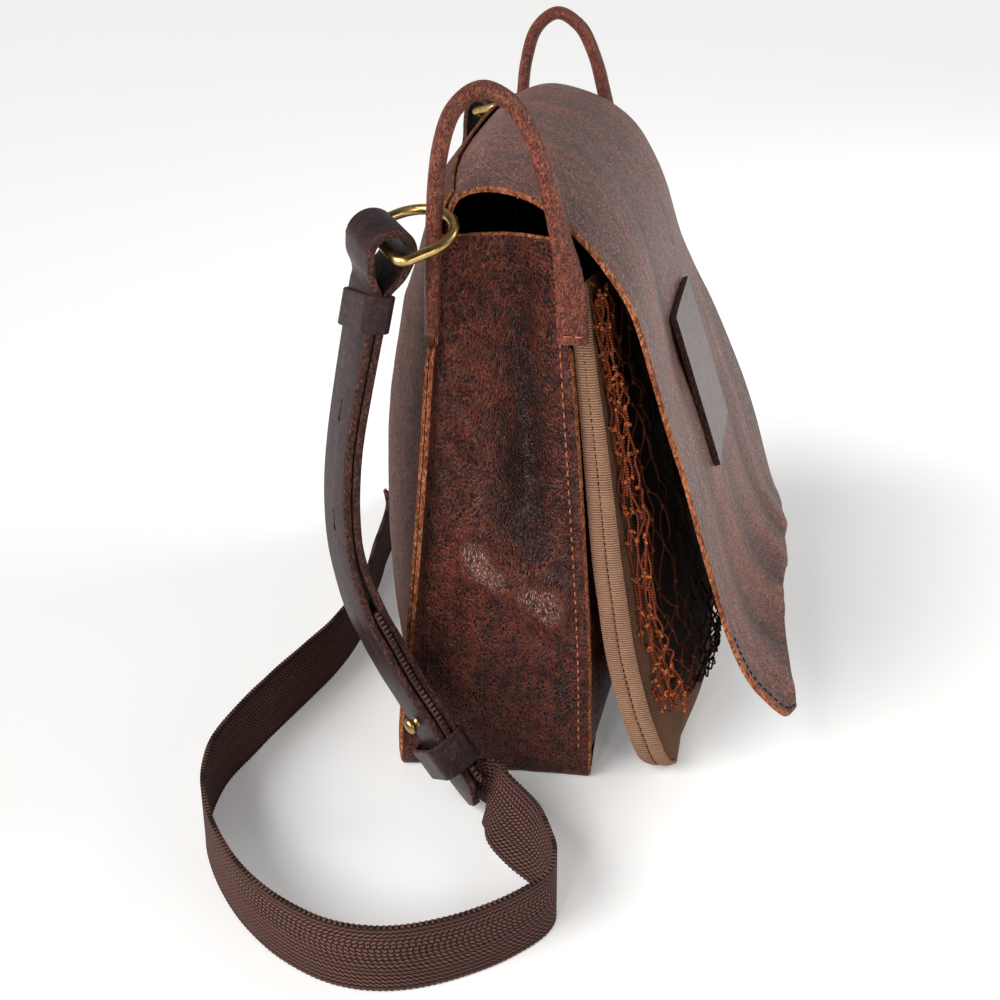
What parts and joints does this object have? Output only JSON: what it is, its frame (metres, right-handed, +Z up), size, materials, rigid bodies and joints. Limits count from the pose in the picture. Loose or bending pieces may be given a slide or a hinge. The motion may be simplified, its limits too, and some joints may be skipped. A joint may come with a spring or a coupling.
{
  "type": "hunting bag",
  "caption": "Gusseted leather shoulder bag with a deep front flap, canvas game pocket and knotted net, rolled carry loops, brass rings and a webbing strap.",
  "frame": {"origin": "middle of the flat base, on the surface the bag stands on", "axes": "+X along the bag's length to the far end of the picture, +Y to the back panel, with the flap hanging on -Y, +Z up"},
  "size_m": [0.5876, 0.3307, 0.3966],
  "materials": {
    "body_leather": "pull-up leather, satin",
    "flap_leather": "waxed pull-up leather, worn sheen",
    "patch_leather": "thick leather, smooth",
    "canvas": "cotton canvas",
    "binding_tape": "ribbed cotton tape",
    "net_cord": "knotted cord",
    "loop_leather": "rolled leather",
    "strap_leather": "waxed bridle leather",
    "brass": "polished brass",
    "webbing": "woven cotton webbing"
  },
  "bodies": {
    "root": {"gusset": "body_leather", "back_panel": "body_leather", "front_panel": "body_leather", "flap": "flap_leather", "flap_patch": "patch_leather", "pocket_back": "canvas", "pocket_front": "canvas", "pocket_binding": "binding_tape", "game_net": "net_cord", "carry_loop_near": "loop_leather", "carry_loop_far": "loop_leather", "d_ring_near": "brass", "d_ring_far": "brass", "strap_leather_near": "strap_leather", "strap_leather_far": "strap_leather", "keeper_upper": "strap_leather", "keeper_lower": "strap_leather", "stud": "brass", "webbing": "webbing"}
  },
  "joints": []
}
